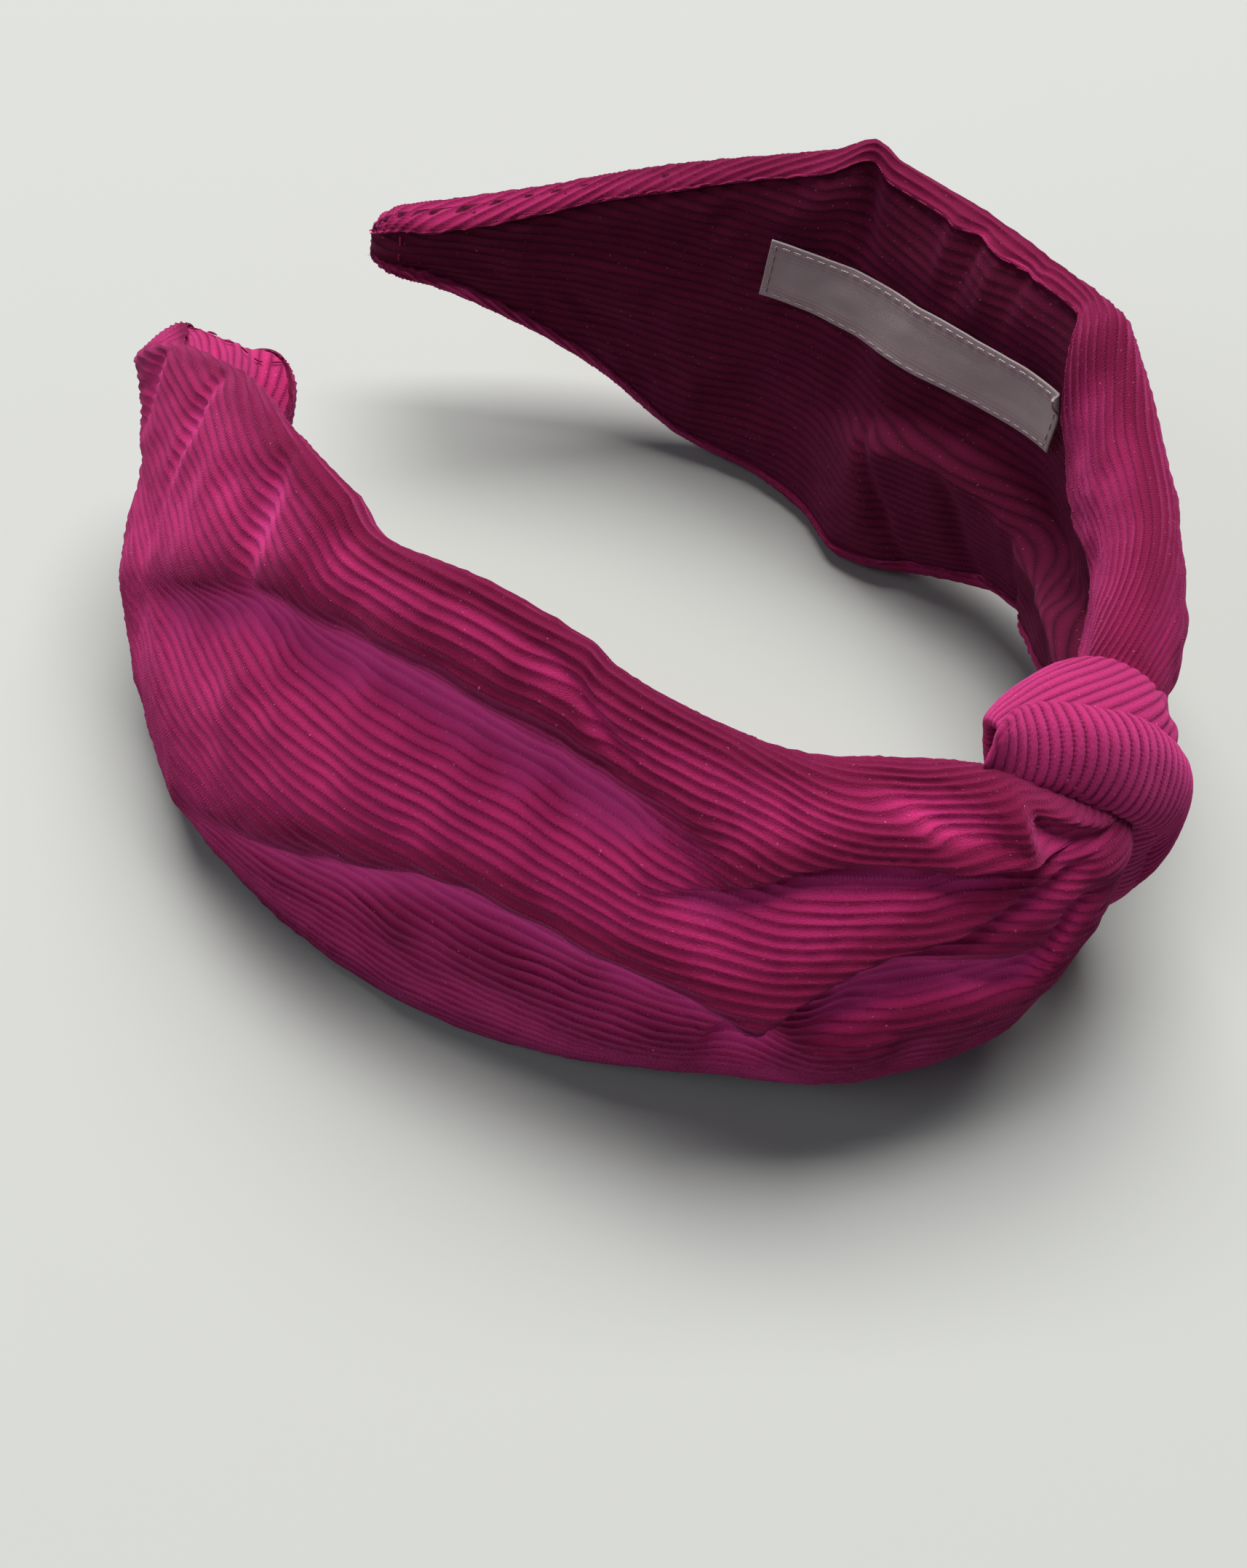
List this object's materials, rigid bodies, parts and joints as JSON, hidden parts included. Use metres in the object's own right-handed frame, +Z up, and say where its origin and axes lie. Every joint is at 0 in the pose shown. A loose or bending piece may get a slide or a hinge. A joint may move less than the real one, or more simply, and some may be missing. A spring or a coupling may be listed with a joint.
{
  "type": "knotted headband",
  "caption": "Wide corduroy headband, knotted at the crown over a springy plastic band, with two arms that flex open to go over the head and a blank label inside.",
  "frame": {"origin": "on the table plane the band rests on, under the middle of its whole outline", "axes": "+Z up as it lies on its lower edge; -Y at the knot and +Y at the two tips; +X on the side of the right arm, which carries the label"},
  "size_m": [0.1486, 0.1631, 0.0614],
  "materials": {
    "corduroy": "raspberry fine-wale corduroy, matt with a soft pile sheen",
    "knot_corduroy": "the same corduroy, folded, pile raised along the folds",
    "lining_corduroy": "the same corduroy seen in shade on the head side, flatter pile",
    "seam_thread": "matching sewing thread",
    "label_cloth": "pale woven ribbon with two border lines, blank",
    "label_thread": "pale pink sewing thread",
    "plastic": "natural moulded plastic, satin"
  },
  "bodies": {
    "crown": {"crown_plastic_core": "plastic", "knot_gathered_cloth": "corduroy", "knot_upper_loop": "knot_corduroy", "knot_lower_loop": "knot_corduroy", "knot_folded_flap": "knot_corduroy", "knot_backing": "lining_corduroy"},
    "left_arm": {"left_outer_cover": "corduroy", "left_inner_lining": "lining_corduroy", "left_plastic_core": "plastic", "left_upper_seam": "seam_thread", "left_lower_seam": "seam_thread", "left_tip_stitch": "seam_thread"},
    "right_arm": {"right_outer_cover": "corduroy", "right_inner_lining": "lining_corduroy", "right_plastic_core": "plastic", "right_upper_seam": "seam_thread", "right_lower_seam": "seam_thread", "right_tip_stitch": "seam_thread", "blank_label": "label_cloth", "label_stitching": "label_thread"}
  },
  "joints": [
    {"name": "left_arm_flex", "type": "hinge", "parent": "crown", "child": "left_arm", "pos_m": [-0.01107, -0.06243, 0.0297], "axis": [0, 0, 1], "range_deg": [-4, 20], "stiffness_Nm_per_rad": 0.5},
    {"name": "right_arm_flex", "type": "hinge", "parent": "crown", "child": "right_arm", "pos_m": [0.0216, -0.06017, 0.0297], "axis": [0, 0, -1], "range_deg": [-4, 20], "stiffness_Nm_per_rad": 0.5}
  ]
}
